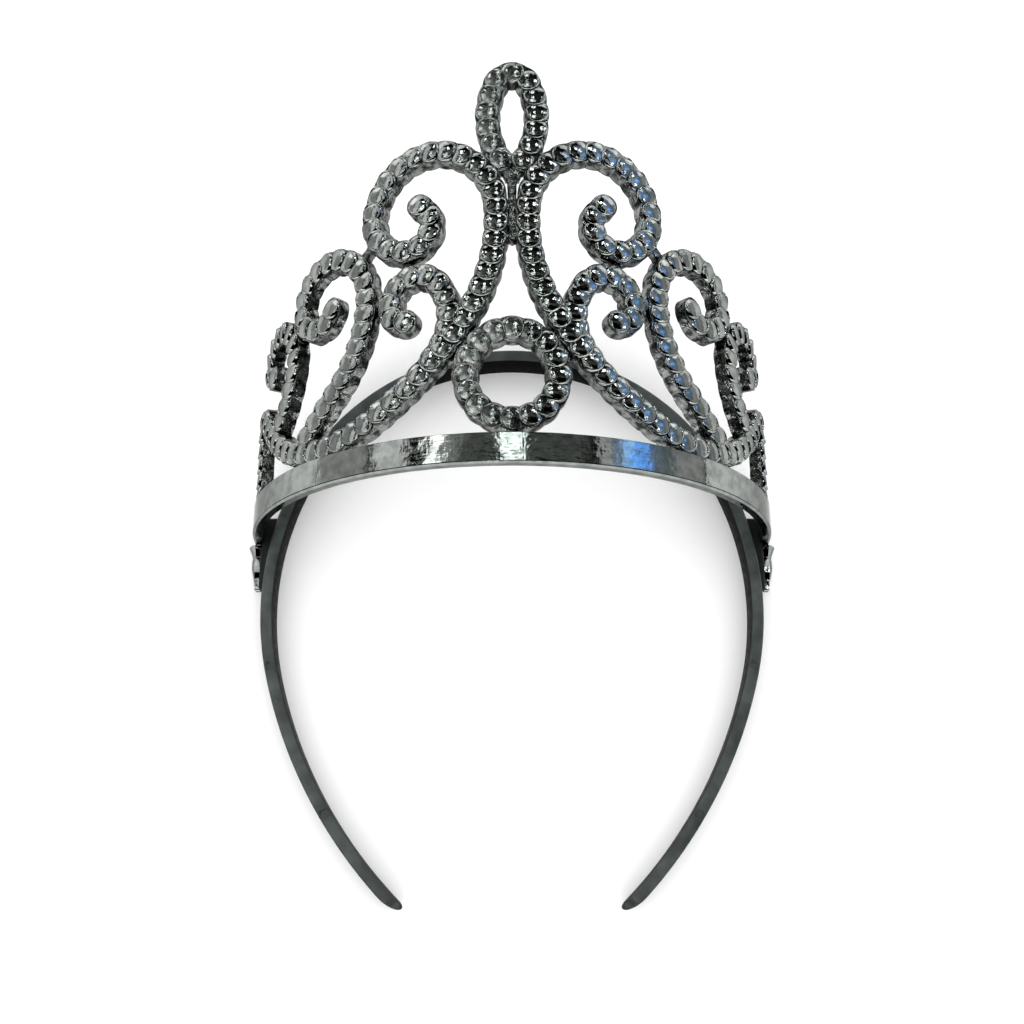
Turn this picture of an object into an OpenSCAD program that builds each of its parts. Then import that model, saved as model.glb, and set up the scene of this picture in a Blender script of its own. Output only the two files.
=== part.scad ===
// Mini crown headband: a silvered crown moulding carried on a plain black plastic headband.
// The part lies on its back. The headband's back edge is in the plane z = 0, x runs across it,
// y runs from its open tips towards the crown's point, and the crown's band arches over in +z.
// The origin is the middle of the headband's back edge at the top of its arch.

/* [Headband] */
// Widest overall width of the headband
headband_width = 119; // [105:1:135]
// Depth of the strip, from its back edge to its front edge
strip_depth = 8; // [6:0.5:12]
// Thickness of the strip
strip_wall = 2.8; // [2:0.1:3.4]
// Diameter of the round ejector marks on the front edge
mark_d = 1.8; // [1:0.1:2.2]
// Depth of the ejector marks
mark_depth = 0.15; // [0.05:0.05:0.4]
// Depth of the mounting pads, across the legs
pad_depth = 6; // [4:0.5:7.5]
// Thickness of a pad outside the leg's widest place
pad_rise = 0.8; // [0.5:0.1:2]

/* [Crown band] */
// Distance from the top of the arch down to the band's lower edge
band_drop = 50.2; // [44:0.2:56]
// Height of the smooth band
band_height = 6.5; // [4:0.5:12]
// Wall of the smooth band
band_wall = 2.4; // [1.8:0.1:3.2]
// Bevel along the band's lower outer edge
band_bevel = 0.5; // [0.2:0.1:0.8]
// Gap between the band's full wall and the headband's front edge
seat_gap = 0.3; // [0.1:0.1:1]
// Wall of the end tabs, outside the pads
tab_wall = 1.5; // [1:0.1:2]
// Length that the ornamental end tabs hang below the band
tab_drop = 11; // [8:0.5:14]
// Width of the end tabs at their widest
tab_width = 6.8; // [5:0.2:7.4]
// Relief of the end tabs' leaf at its highest
tab_relief = 1.6; // [1:0.1:2.5]
// Diameter of the eye pierced behind each leaf
eye_d = 1.3; // [0.8:0.1:1.6]

/* [Openwork] */
// Height of the openwork, from the band's top edge to the crown's point
lace_height = 87.6; // [70:0.5:105]
// Angle round each side at which the openwork ends
lace_reach = 77; // [72:0.5:80]
// Depth of the rib that carries the beads
rib_depth = 2.6; // [2:0.1:3.6]
// Diameter of a bead
bead_d = 5.3; // [4.8:0.1:5.8]
// Height of a bead's dome above the rib
bead_rise = 1.2; // [0.8:0.1:1.8]
// Distance from bead to bead
bead_pitch = 3.85; // [3.4:0.05:4.4]
// Width of the small bridges that tie neighbouring scrolls
bridge_width = 3; // [2:0.1:4]

/* [Hidden] */

// Columns of an arc row: radius, and sweep in degrees, positive to the left.
RADIUS = 0;
SWEEP = 1;

// The headband's outer line from the top of the arch to a tip, radii as shares of its half width.
ARCH_ARCS = [[0.972, -64], [1.237, -40], [1.85, -32.6]];
// Ejector marks on each leg: which arc, and how far along it as a share of its sweep.
MARKS = [[1, 0.955], [2, 0.56]];

// One side of the openwork, in shares of its height: u across, v up from the band's top edge.
// Columns of a chain row: first point, heading in degrees, arcs, how many layers it lies below the
// main chain, and whether its first and last bead are cut in half by the middle plane.
START = 0;
HEADING = 1;
ARCS = 2;
LAYER = 3;
HALVED = 4;
// From its foot on the band the main chain curls in, runs along the band, and climbs to the top scroll.
MAIN = [[0.925, 0.02], 84, [
    [1.345, 6.5], [0.045, 143.6], [0.049, -9.5], [0.893, -11.5], [0.339, -62.4],
    [0.663, -33], [0.468, -34.6], [0.166, -161.6], [0.11, -92.9], [0.064, -159.9],
], 0, [false, false]];
LOWER = [[0.195, 0.201], 126, [[0.691, -2], [0.152, -70.1], [0.071, -165], [0.036, -80]],
    1, [false, false]];
MIDDLE = [[0.617, 0.05], 142, [[2, -5], [0.307, -51], [0.132, -128], [0.08, -158], [0.038, -67]],
    2, [false, false]];
OUTER = [[0.763, 0.135], 145, [[0.235, -49], [0.103, -146], [0.042, -140]], 1, [false, false]];
// Half of the pointed loop, and half of the ring that stands over the middle of the band.
LOOP = [[0, 0.969], 0, [[0.047, -66], [0.236, -56]], 1, [true, false]];
RING = [[0, 0.268], 0, [[0.115, -180]], 2, [true, true]];
CHAINS = [MAIN, LOWER, MIDDLE, OUTER, LOOP, RING];
// Bridges between neighbouring scrolls, from point to point.
BRIDGES = [
    [[0.091, 0.223], [0.142, 0.267]],
    [[0.361, 0.547], [0.414, 0.495]],
    [[0.281, 0.495], [0.258, 0.425]],
    [[0.309, 0.363], [0.373, 0.377]],
    [[0.622, 0.428], [0.676, 0.388]],
    [[0.03, 0.722], [0, 0.679]],
];
// The web between the two middle stems, and the ring's foot on the band.
MIDDLE_WEBS = [[[0, 0.505], [0, 0.679]], [[0, 0.038], [0, -0.02]]];
// Share of the pattern's height at which its outermost bead lies from the middle.
REACH_U = 0.945;

// Sections across a bead, from its middle outwards: place along the chain and half width of its
// rim as shares of the bead's radius, and height of its dome as a share of its rise.
ALONG = 0;
RIM = 1;
RISE = 2;
BEAD_SECTION = [0.309, 0.951, 1];
END_SECTIONS = [[0.809, 0.588, 0.5], [0.98, 0.16, 0.1]];
// Half way between two beads, where the place comes from the pitch.
WAIST_RIM = 0.66;
WAIST_RISE = 0.45;
// Step from one layer of chains to the next, and how far the bridges lie inside the rib's faces.
LAYER_STEP = 0.12;
BRIDGE_INSET = 0.5;

// Rows of the end tab's leaf, from the band's top down: place along the drop below the band,
// width and relief, as shares of the drop, the tab's width and its relief.
PLACE = 0;
WIDTH = 1;
RELIEF = 2;
LEAF = [
    [0, 0.95, 0],
    [0.02, 0.58, 0],
    [0.03, 1, 1],
    [0.26, 0.46, 0.38],
    [0.49, 0.82, 0.5],
    [0.74, 0.52, 0.12],
    [1, 0.24, -0.35],
];
// The eye behind the leaf's waist, and the small barb on the band's end, along the same drop.
EYE_PLACE = 0.21;
BARB_PLACE = -0.26;
BARB_HALF = 0.12;
// Rounding of a tip seen from the front: how far back it starts on the outer and the inner side,
// the tip's place between them as a share of the wall, and how far it lies behind the strip's end.
TIP_OUTER = 5.6;
TIP_INNER = 1.9;
TIP_PLACE = 0.75;
TIP_INSET = 0.15;
// How far the band's flat ends lie inside its round outer face.
END_INSET = 0.05;

// Fineness of the traced lines, in millimetres, and of round forms.
ARCH_STEP = 2.5;
TRACE_STEP = 0.5;
BAND_SIDES = 100;
ROUND_FN = 96;
TIP_STEPS = 9;
EPS = 0.01;

half_width = headband_width / 2;
strip_mid = strip_depth / 2;
pad_face = half_width + pad_rise;
crown_r = pad_face + tab_wall;
rib_r = crown_r - bead_rise;
band_y = strip_wall / 2 - band_drop;
lace_y = band_y + band_height;
bead_r = bead_d / 2;
mm_per_u = lace_reach / REACH_U * PI / 180 * rib_r;

// A point on an arc that leaves p at heading h, after turning by t of its sweep.
function along_arc(p, h, r, sweep, t) =
    p + sign(sweep) * r * [sin(h + t) - sin(h), cos(h) - cos(h + t)];

// The start of arc i in a chain of tangent arcs, and its heading there.
function arc_heading(arcs, h, i) = i == 0 ? h : arc_heading(arcs, h, i - 1) + arcs[i - 1][SWEEP];
function arc_start(arcs, p, h, i) =
    i == 0 ? p :
    along_arc(arc_start(arcs, p, h, i - 1), arc_heading(arcs, h, i - 1),
        arcs[i - 1][RADIUS], arcs[i - 1][SWEEP], arcs[i - 1][SWEEP]);

// The points of a chain of tangent arcs, no further apart than step, each with its heading.
function trace(p, h, arcs, step) = [
    for (i = [0 : len(arcs) - 1])
        let (
            from = arc_start(arcs, p, h, i),
            heading = arc_heading(arcs, h, i),
            r = arcs[i][RADIUS],
            sweep = arcs[i][SWEEP],
            steps = ceil(r * abs(sweep) * PI / 180 / step),
            first = i == 0 ? 0 : 1
        )
        for (k = [first : steps])
            concat(along_arc(from, heading, r, sweep, sweep * k / steps), heading + sweep * k / steps)
];
function points(traced) = [for (row = traced) [row[0], row[1]]];

// The headband's outer and inner lines in millimetres, from the top of the arch to a tip.
arch_arcs = [for (arc = ARCH_ARCS) [arc[RADIUS] * half_width, arc[SWEEP]]];
inner_arcs = [for (arc = arch_arcs) [arc[RADIUS] - strip_wall, arc[SWEEP]]];
arch_top = [0, strip_wall / 2];
arch_line = points(trace(arch_top, 0, arch_arcs, ARCH_STEP));
inner_line = points(trace(-arch_top, 0, inner_arcs, ARCH_STEP));
arch_drops = [for (p = arch_line) [arch_top[1] - p[1], p[0]]];
function leg_x(y) = lookup(arch_top[1] - y, arch_drops);

// A point of the openwork's pattern in millimetres along and up the rib's outer face.
function flat(p) = [p[0] * mm_per_u, lace_y + p[1] * lace_height];
// A flat point put on the crown's curve at radius r.
function curved(p, r) =
    let (angle = p[0] / rib_r * 180 / PI)
    [r * sin(angle), p[1], strip_mid + r * cos(angle)];

// Distances along a line of points, and the value of a list beside it at a distance.
function distances(line) = [
    for (i = 0, d = 0; i < len(line);
        d = i + 1 < len(line) ? d + norm(line[i + 1] - line[i]) : d, i = i + 1) d
];
function at_distance(run, values, d) = lookup(d, [for (i = [0 : len(run) - 1]) [run[i], values[i]]]);

// The sections of one chain as [distance along it, half width, dome height]: two for each bead,
// one for each waist between beads, and the rounded ends. A halved end is cut flat instead.
function chain_sections(total, halved) =
    let (
        count = round(total / bead_pitch),
        gap = total / count,
        near = BEAD_SECTION[ALONG] * bead_r,
        bead = [BEAD_SECTION[RIM] * bead_r, BEAD_SECTION[RISE] * bead_rise],
        waist = [WAIST_RIM * bead_r, WAIST_RISE * bead_rise],
        ends = [for (row = END_SECTIONS) [row[ALONG] * bead_r, row[RIM] * bead_r, row[RISE] * bead_rise]]
    )
    concat(
        halved[0] ? [] : [for (i = [1, 0]) [-ends[i][0], ends[i][1], ends[i][2]]],
        [for (k = [0 : count])
            each [
                [k == 0 && halved[0] ? 0 : k * gap - near, bead[0], bead[1]],
                [k == count && halved[1] ? total : k * gap + near, bead[0], bead[1]],
                if (k < count) [(k + 0.5) * gap, waist[0], waist[1]],
            ]
        ],
        halved[1] ? [] : [for (i = [0, 1]) [total + ends[i][0], ends[i][1], ends[i][2]]]
    );

module both_sides() {
    children();
    mirror([1, 0, 0]) children();
}

// A line of points backwards, and its mirror image without the point on the middle plane.
function backwards(line) = [for (i = [len(line) - 1 : -1 : 0]) line[i]];
function other_side(line) = [for (i = [1 : len(line) - 1]) [-line[i][0], line[i][1]]];

// The strip of the headband, bent to its arch and standing on its back edge.
module strip() {
    linear_extrude(strip_depth)
        polygon(concat(
            backwards(other_side(arch_line)), arch_line,
            backwards(inner_line), other_side(inner_line)
        ));
}

// What is cut from a tip, seen from the front, to round it towards its inner side.
module tip_corners() {
    place = TIP_PLACE * strip_wall;
    inner = strip_wall - place + TIP_INSET;
    turn = 90 / TIP_STEPS;
    outer_run = TIP_OUTER - TIP_INSET;
    inner_run = TIP_INNER - TIP_INSET;
    polygon(concat(
        [[-TIP_OUTER, strip_wall]],
        [for (t = [0 : turn : 90]) [outer_run * sin(t) - TIP_OUTER, place * (cos(t) - 1)]],
        [for (t = [90 - turn : -turn : 0]) [inner_run * sin(t) - TIP_INNER, -place - inner * cos(t)]],
        [[-TIP_INNER, -2 * strip_wall], [strip_mid, -2 * strip_wall], [strip_mid, strip_wall]]
    ));
}

// What is cut from a tip to round it from its back edge to its front edge, and seen from the front.
module tip_cut() {
    last = len(arch_arcs) - 1;
    heading = arc_heading(arch_arcs, 0, last) + arch_arcs[last][SWEEP];
    tip = arch_line[len(arch_line) - 1];
    translate(tip)
        rotate(heading) {
            translate([0, 0, -EPS]) linear_extrude(strip_depth + 2 * EPS) tip_corners();
            difference() {
                translate([-strip_mid, -2 * strip_wall, -EPS])
                    cube([strip_depth, 3 * strip_wall, strip_depth + 2 * EPS]);
                translate([-strip_mid, 2 * strip_wall, strip_mid])
                    rotate([90, 0, 0]) cylinder(r = strip_mid, h = 5 * strip_wall, $fn = ROUND_FN);
            }
        }
}

// A pad on the outside of a leg, flat where the crown's end tab lies on it.
module pad() {
    low = band_y - tab_drop;
    translate([0, 0, strip_mid - pad_depth / 2])
        linear_extrude(pad_depth)
            polygon([
                [leg_x(low) - strip_wall / 2, low],
                [pad_face, low],
                [pad_face, lace_y],
                [leg_x(lace_y) - strip_wall / 2, lace_y],
            ]);
}

module ejector_mark(arc, share) {
    heading = arc_heading(arch_arcs, 0, arc);
    turn = arch_arcs[arc][SWEEP] * share;
    edge = along_arc(arc_start(arch_arcs, arch_top, 0, arc), heading, arch_arcs[arc][RADIUS],
        arch_arcs[arc][SWEEP], turn);
    inwards = [sin(heading + turn), -cos(heading + turn)];
    translate(edge + inwards * strip_wall / 2)
        translate([0, 0, strip_depth - mark_depth]) cylinder(d = mark_d, h = mark_depth + EPS, $fn = 32);
}

module headband() {
    color([0.13, 0.14, 0.14])
        difference() {
            union() {
                strip();
                both_sides() pad();
            }
            both_sides() {
                tip_cut();
                for (mark = MARKS) ejector_mark(mark[0], mark[1]);
            }
        }
}

// Puts children at a pattern point on the crown's curve, facing outwards at radius r.
module on_curve(p, r) {
    place = flat(p);
    translate([0, place[1], strip_mid])
        rotate([0, place[0] / rib_r * 180 / PI, 0])
            translate([0, 0, r]) children();
}

// The smooth band: a half hoop with a bevelled lower edge, let in where the headband passes.
module band() {
    inner = crown_r - band_wall;
    difference() {
        translate([0, band_y, strip_mid])
            rotate([-90, 180, 0])
                rotate_extrude(angle = 180, $fn = BAND_SIDES)
                    polygon([
                        [inner, 0],
                        [crown_r - band_bevel, 0],
                        [crown_r, band_bevel],
                        [crown_r, band_height],
                        [inner, band_height],
                    ]);
        translate([-pad_face, band_y - EPS, 0])
            cube([2 * pad_face, band_height + 2 * EPS, strip_depth + seat_gap]);
    }
}

// One step of the leaf: a block as wide and as thick as its row says.
module leaf_row(row) {
    wide = row[WIDTH] * tab_width;
    translate([pad_face, band_y - row[PLACE] * tab_drop, strip_mid - wide / 2])
        cube([tab_wall + row[RELIEF] * tab_relief, EPS, wide]);
}

// An end tab: the band's flat end over the pad, with a leaf in relief that hangs below it.
module end_tab() {
    difference() {
        union() {
            translate([pad_face, band_y, strip_mid - tab_width / 2])
                cube([tab_wall - END_INSET, band_height, tab_width]);
            for (i = [0 : len(LEAF) - 2])
                hull() {
                    leaf_row(LEAF[i]);
                    leaf_row(LEAF[i + 1]);
                }
            hull() {
                barb_y = band_y - BARB_PLACE * tab_drop;
                half = BARB_HALF * tab_drop;
                translate([pad_face, barb_y - half, strip_mid - half])
                    cube([tab_wall - END_INSET, 2 * half, 2 * half]);
                translate([crown_r + tab_relief / 2, barb_y, strip_mid - EPS]) cube(2 * EPS);
            }
        }
        translate([pad_face, band_y - EYE_PLACE * tab_drop, strip_mid])
            cylinder(d = eye_d, h = 2 * tab_width, center = true, $fn = 12);
    }
}

// A chain of domed beads on its rib, as one sweep of five-cornered sections.
module bead_chain(chain) {
    traced = trace(chain[START], chain[HEADING], chain[ARCS], TRACE_STEP / lace_height);
    line = [for (p = points(traced)) flat(p)];
    run = distances(line);
    total = run[len(run) - 1];
    sections = chain_sections(total, chain[HALVED]);
    top = rib_r - chain[LAYER] * LAYER_STEP;
    corners = [
        for (section = sections)
            let (
                heading = at_distance(run, [for (row = traced) row[2]], section[0]),
                past_end = section[0] - min(max(section[0], 0), total),
                spot = [at_distance(run, [for (p = line) p[0]], section[0]),
                    at_distance(run, [for (p = line) p[1]], section[0])]
                    + past_end * [cos(heading), sin(heading)],
                rim = section[1] * [-sin(heading), cos(heading)]
            )
            each [
                curved(spot + rim, top - rib_depth),
                curved(spot - rim, top - rib_depth),
                curved(spot - rim, top),
                curved(spot, top + section[2]),
                curved(spot + rim, top),
            ]
    ];
    last = len(sections) - 1;
    polyhedron(corners, concat(
        [[4, 3, 2, 1, 0]],
        [[for (j = [0 : 4]) last * 5 + j]],
        [for (i = [0 : last - 1]) for (j = [0 : 4])
            each [
                [i * 5 + j, i * 5 + (j + 1) % 5, i * 5 + (j + 1) % 5 + 5],
                [i * 5 + j, i * 5 + (j + 1) % 5 + 5, i * 5 + j + 5],
            ]
        ]
    ));
}

// A low bridge of rib from one pattern point to another.
module bridge(ends) {
    hull()
        for (p = ends)
            on_curve(p, rib_r - rib_depth + BRIDGE_INSET)
                cylinder(d = bridge_width, h = rib_depth - 2 * BRIDGE_INSET, $fn = 8);
}

module openwork() {
    both_sides() {
        for (chain = CHAINS) bead_chain(chain);
        for (ends = BRIDGES) bridge(ends);
    }
    for (ends = MIDDLE_WEBS) bridge(ends);
}

module crown() {
    color("silver") {
        band();
        both_sides() end_tab();
        openwork();
    }
}

headband();
crown();
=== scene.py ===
"""The looks of a mini crown headband: a silvered, beaded crown on a plain black plastic headband.

The part lies on the headband's back edge. Fields hold millimetres and degrees, and MM turns them
into metres where points are made. The openwork's flat pattern is in shares of its height, as in
the part's own source: u across from the middle, v up from the band's top edge.
"""

import logging
import math
import random
from bisect import bisect_right
from dataclasses import dataclass, field
from enum import Enum

import bmesh
import bpy
from mathutils import Matrix, Vector, noise


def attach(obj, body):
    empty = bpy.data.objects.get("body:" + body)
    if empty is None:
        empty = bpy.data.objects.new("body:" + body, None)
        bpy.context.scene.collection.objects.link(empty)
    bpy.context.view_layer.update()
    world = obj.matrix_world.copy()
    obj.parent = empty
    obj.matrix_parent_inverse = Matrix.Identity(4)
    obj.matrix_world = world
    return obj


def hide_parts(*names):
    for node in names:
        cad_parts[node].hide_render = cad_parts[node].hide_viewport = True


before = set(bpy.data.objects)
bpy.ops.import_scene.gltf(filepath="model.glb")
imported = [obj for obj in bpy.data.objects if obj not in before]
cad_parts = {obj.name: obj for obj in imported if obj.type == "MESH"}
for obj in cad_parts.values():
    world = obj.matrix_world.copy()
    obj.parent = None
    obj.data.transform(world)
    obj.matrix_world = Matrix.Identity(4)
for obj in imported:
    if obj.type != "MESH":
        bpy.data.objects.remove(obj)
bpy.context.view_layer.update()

MM = 0.001
ROOT = "root"
LOG = logging.getLogger("crown")


class Node(Enum):
    """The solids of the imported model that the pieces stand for."""

    HEADBAND = "headband"
    CROWN = "crown"


class Slot(Enum):
    """The record's material slots."""

    PLATING = "silver_plating"
    PLASTIC = "black_plastic"


class Side(Enum):
    """Which half of the crown a piece belongs to, as the sign of its x."""

    LEFT = -1
    RIGHT = 1

    @property
    def word(self) -> str:
        """The side's name for a piece."""
        return self.name.lower()


# Finishes


class Shader:
    """A node tree around one Principled shader, with short calls for the nodes that finishes use."""

    def __init__(self, name: str) -> None:
        """Starts a material.

        Args:
            name: The material's name.
        """
        self.material = bpy.data.materials.new(name)
        self.material.use_nodes = True
        self.tree = self.material.node_tree
        self.skin = self.tree.nodes["Principled BSDF"]
        place = self.tree.nodes.new("ShaderNodeTexCoord")
        self.place = place.outputs["Object"]
        self.outward = place.outputs["Normal"]

    def set(self, **values: float | tuple[float, ...]) -> None:
        """Sets the shader's own sockets.

        Args:
            values: Socket names with underscores for spaces, and their values.
        """
        for name, value in values.items():
            self.skin.inputs[name.replace("_", " ")].default_value = value

    def stretched(self, stretch: tuple[float, float, float]) -> bpy.types.NodeSocket:
        """The object's own coordinates, stretched.

        Args:
            stretch: The scale along each axis.

        Returns:
            A vector socket.
        """
        mapping = self.tree.nodes.new("ShaderNodeMapping")
        mapping.inputs["Scale"].default_value = stretch
        self.tree.links.new(self.place, mapping.inputs["Vector"])
        return mapping.outputs["Vector"]

    def noise(
        self, size: float, detail: float = 3, stretch: tuple[float, float, float] = (1, 1, 1)
    ) -> bpy.types.NodeSocket:
        """A noise over the piece.

        Args:
            size: The size of its patches, in millimetres.
            detail: How many finer layers it has.
            stretch: The scale along each axis.

        Returns:
            A value socket.
        """
        texture = self.tree.nodes.new("ShaderNodeTexNoise")
        texture.inputs["Scale"].default_value = 1 / (size * MM)
        texture.inputs["Detail"].default_value = detail
        self.tree.links.new(self.stretched(stretch), texture.inputs["Vector"])
        return texture.outputs["Fac"]

    def ramp(self, source: bpy.types.NodeSocket, stops: list[tuple[float, tuple]]) -> bpy.types.NodeSocket:
        """A colour ramp over a value.

        Args:
            source: The value.
            stops: Places from 0 to 1 and their colours.

        Returns:
            A colour socket.
        """
        ramp = self.tree.nodes.new("ShaderNodeValToRGB")
        elements = ramp.color_ramp.elements
        while len(elements) < len(stops):
            elements.new(0.5)
        for element, (spot, colour) in zip(elements, stops):
            element.position = spot
            element.color = (*colour, 1)
        self.tree.links.new(source, ramp.inputs["Fac"])
        return ramp.outputs["Color"]

    def painted_shade_mask(self) -> bpy.types.NodeSocket:
        """A mask for painted shade: 1 on faces that look up the object's own z and 0 on its sides, which
        get the painted shade.

        Returns:
            A value socket.
        """
        split = self.tree.nodes.new("ShaderNodeSeparateXYZ")
        self.tree.links.new(self.outward, split.inputs["Vector"])
        return self.spread(split.outputs["Z"], 0, 1, start=0.3, end=0.9)

    def blend(
        self, share: bpy.types.NodeSocket, low: tuple[float, float, float], high: bpy.types.NodeSocket
    ) -> bpy.types.NodeSocket:
        """A colour between a plain one and a source.

        Args:
            share: How much of the source shows.
            low: The plain colour.
            high: The source.

        Returns:
            A colour socket.
        """
        mix = self.tree.nodes.new("ShaderNodeMix")
        mix.data_type = "RGBA"
        # Sockets 6 and 7 and output 2 are the node's colours; its names stand for several kinds of value.
        mix.inputs[6].default_value = (*low, 1)
        self.tree.links.new(share, mix.inputs[0])
        self.tree.links.new(high, mix.inputs[7])
        return mix.outputs[2]

    def spread(
        self, source: bpy.types.NodeSocket, low: float, high: float, start: float = 0.3, end: float = 0.7
    ) -> bpy.types.NodeSocket:
        """A value brought into a range.

        Args:
            source: The value.
            low: What its start becomes.
            high: What its end becomes.
            start: The lowest value of the source.
            end: The highest value of the source.

        Returns:
            A value socket.
        """
        ranged = self.tree.nodes.new("ShaderNodeMapRange")
        ranged.inputs["From Min"].default_value = start
        ranged.inputs["From Max"].default_value = end
        ranged.inputs["To Min"].default_value = low
        ranged.inputs["To Max"].default_value = high
        self.tree.links.new(source, ranged.inputs["Value"])
        return ranged.outputs["Result"]

    def feed(self, name: str, source: bpy.types.NodeSocket) -> None:
        """Links a source to one of the shader's sockets."""
        self.tree.links.new(source, self.skin.inputs[name])

    def relief(self, layers: list[tuple[bpy.types.NodeSocket, float]]) -> None:
        """Raises the surface by one bump after another.

        Args:
            layers: Height sources, each with its depth in millimetres.
        """
        before = None
        for source, depth in layers:
            bump = self.tree.nodes.new("ShaderNodeBump")
            bump.inputs["Distance"].default_value = depth * MM
            self.tree.links.new(source, bump.inputs["Height"])
            if before is not None:
                self.tree.links.new(before, bump.inputs["Normal"])
            before = bump.outputs["Normal"]
        self.feed("Normal", before)


@dataclass(frozen=True)
class Plating:
    """Bright vacuum plating on moulded plastic, a little uneven and faintly green grey."""

    name: str
    bright: tuple[float, float, float] = (0.3, 0.315, 0.3)
    dull: tuple[float, float, float] = (0.2, 0.215, 0.205)
    stops: tuple[float, float] = (0.38, 0.6)
    edge_tint: tuple[float, float, float, float] = (0.45, 0.45, 0.45, 1)
    patch: float = 2.2
    roughness: tuple[float, float] = (0.02, 0.07)
    gloss_finer: float = 3
    ripple: float = 0.75
    ripple_depth: float = 0.042
    grain_finer: float = 2.6
    grain_depth: float = 0.012

    def material(self) -> bpy.types.Material:
        """Builds the material.

        Returns:
            The new material.
        """
        shader = Shader(self.name)
        shader.set(Metallic=1.0, Specular_Tint=self.edge_tint)
        tones = list(zip(self.stops, (self.dull, self.bright)))
        shader.feed("Base Color", shader.ramp(shader.noise(self.patch), tones))
        shader.feed("Roughness", self.gloss(shader))
        shader.relief([
            (shader.noise(self.ripple, detail=2), self.ripple_depth),
            (shader.noise(self.ripple / self.grain_finer, detail=2), self.grain_depth),
        ])
        return shader.material

    def gloss(self, shader: Shader) -> bpy.types.NodeSocket:
        """The roughness, in small patches."""
        return shader.spread(shader.noise(self.patch / self.gloss_finer, detail=5), *self.roughness)


@dataclass(frozen=True)
class CloudedPlating(Plating):
    """Bead plating that has clouded on the left, with its two places and its cloudiness."""

    cloudy_x: float = -2.0
    clear_x: float = 7.0
    cloud: tuple[float, float] = (0.04, 0.28)

    def gloss(self, shader: Shader) -> bpy.types.NodeSocket:
        """The roughness: mottled and dull on the left, bright on the right.

        Args:
            shader: The material's shader.

        Returns:
            A value socket.
        """
        mottle = shader.spread(shader.noise(self.patch / self.gloss_finer, detail=5), *self.cloud)
        split = shader.tree.nodes.new("ShaderNodeSeparateXYZ")
        shader.tree.links.new(shader.place, split.inputs["Vector"])
        fade = shader.tree.nodes.new("ShaderNodeMapRange")
        fade.inputs["From Min"].default_value = self.cloudy_x * MM
        fade.inputs["From Max"].default_value = self.clear_x * MM
        fade.inputs["To Max"].default_value = self.roughness[1]
        shader.tree.links.new(mottle, fade.inputs["To Min"])
        shader.tree.links.new(split.outputs["X"], fade.inputs["Value"])
        return fade.outputs["Result"]


@dataclass(frozen=True)
class BandPlating(Plating):
    """Plating on the smooth band, with fine wrinkles across it and rubbed scratches along it."""

    stops: tuple[float, float] = (0.35, 0.62)
    rub_finer: float = 2
    rub_stretch: tuple[float, float, float] = (0.35, 2.5, 0.35)
    wrinkle: float = 0.42
    wrinkle_depth: float = 0.008
    wrinkle_stretch: tuple[float, float, float] = (1, 0.12, 1)
    scratch: float = 0.5
    scratch_depth: float = 0.015
    scratch_stretch: tuple[float, float, float] = (0.12, 1, 0.12)

    def material(self) -> bpy.types.Material:
        """Builds the material.

        Returns:
            The new material.
        """
        shader = Shader(self.name)
        shader.set(Metallic=1.0, Specular_Tint=self.edge_tint)
        tones = list(zip(self.stops, (self.dull, self.bright)))
        shader.feed("Base Color", shader.ramp(shader.noise(self.patch), tones))
        rubbed = shader.noise(self.patch / self.rub_finer, 6, self.rub_stretch)
        shader.feed("Roughness", shader.spread(rubbed, *self.roughness))
        shader.relief([
            (shader.noise(self.ripple, detail=2), self.ripple_depth),
            (shader.noise(self.wrinkle, 3, self.wrinkle_stretch), self.wrinkle_depth),
            (shader.noise(self.scratch, 3, self.scratch_stretch), self.scratch_depth),
        ])
        return shader.material


@dataclass(frozen=True)
class BlackPlastic:
    """Black moulded plastic: its front edge is satin, and its sides are matt, with painted shade: the
    sides are coloured near black, darker than the front edge.
    """

    name: str
    deep: tuple[float, float, float] = (0.018, 0.024, 0.022)
    pale: tuple[float, float, float] = (0.044, 0.056, 0.052)
    # Painted shade: the near-black colour of the sides.
    sides: tuple[float, float, float] = (0.001, 0.0013, 0.0013)
    blotch: float = 5
    stops: tuple[float, float] = (0.35, 0.65)
    roughness: tuple[float, float] = (0.3, 0.46)
    gloss_patch: float = 1.6
    shine: tuple[float, float] = (0.01, 0.5)
    grain: float = 0.14
    grain_depth: float = 0.006
    flow: float = 3.5
    flow_depth: float = 0.01
    flow_stretch: tuple[float, float, float] = (1, 1, 0.3)

    def material(self) -> bpy.types.Material:
        """Builds the material.

        Returns:
            The new material.
        """
        shader = Shader(self.name)
        # Painted shade: the sides get the near-black colour and little shine, and the front edge gets the
        # blotched tones.
        front = shader.painted_shade_mask()
        tones = list(zip(self.stops, (self.deep, self.pale)))
        blotches = shader.ramp(shader.noise(self.blotch, detail=4), tones)
        shader.feed("Base Color", shader.blend(front, self.sides, blotches))
        shader.feed("Specular IOR Level", shader.spread(front, *self.shine, 0, 1))
        shader.feed("Roughness", shader.spread(shader.noise(self.gloss_patch, detail=5), *self.roughness))
        shader.relief([
            (shader.noise(self.flow, 2, self.flow_stretch), self.flow_depth),
            (shader.noise(self.grain, detail=2), self.grain_depth),
        ])
        return shader.material


@dataclass(frozen=True)
class PaleFloor:
    """A plain near-white studio floor."""

    name: str
    colour: tuple[float, float, float] = (0.93, 0.93, 0.93)
    shade: tuple[float, float, float] = (0.91, 0.91, 0.91)
    stops: tuple[float, float] = (0.3, 0.7)
    patch: float = 90

    def material(self) -> bpy.types.Material:
        """Builds the material.

        Returns:
            The new material.
        """
        shader = Shader(self.name)
        shader.set(Roughness=0.9, Specular_IOR_Level=0.1)
        tones = list(zip(self.stops, (self.shade, self.colour)))
        shader.feed("Base Color", shader.ramp(shader.noise(self.patch, detail=2), tones))
        return shader.material


# Meshes


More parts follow.
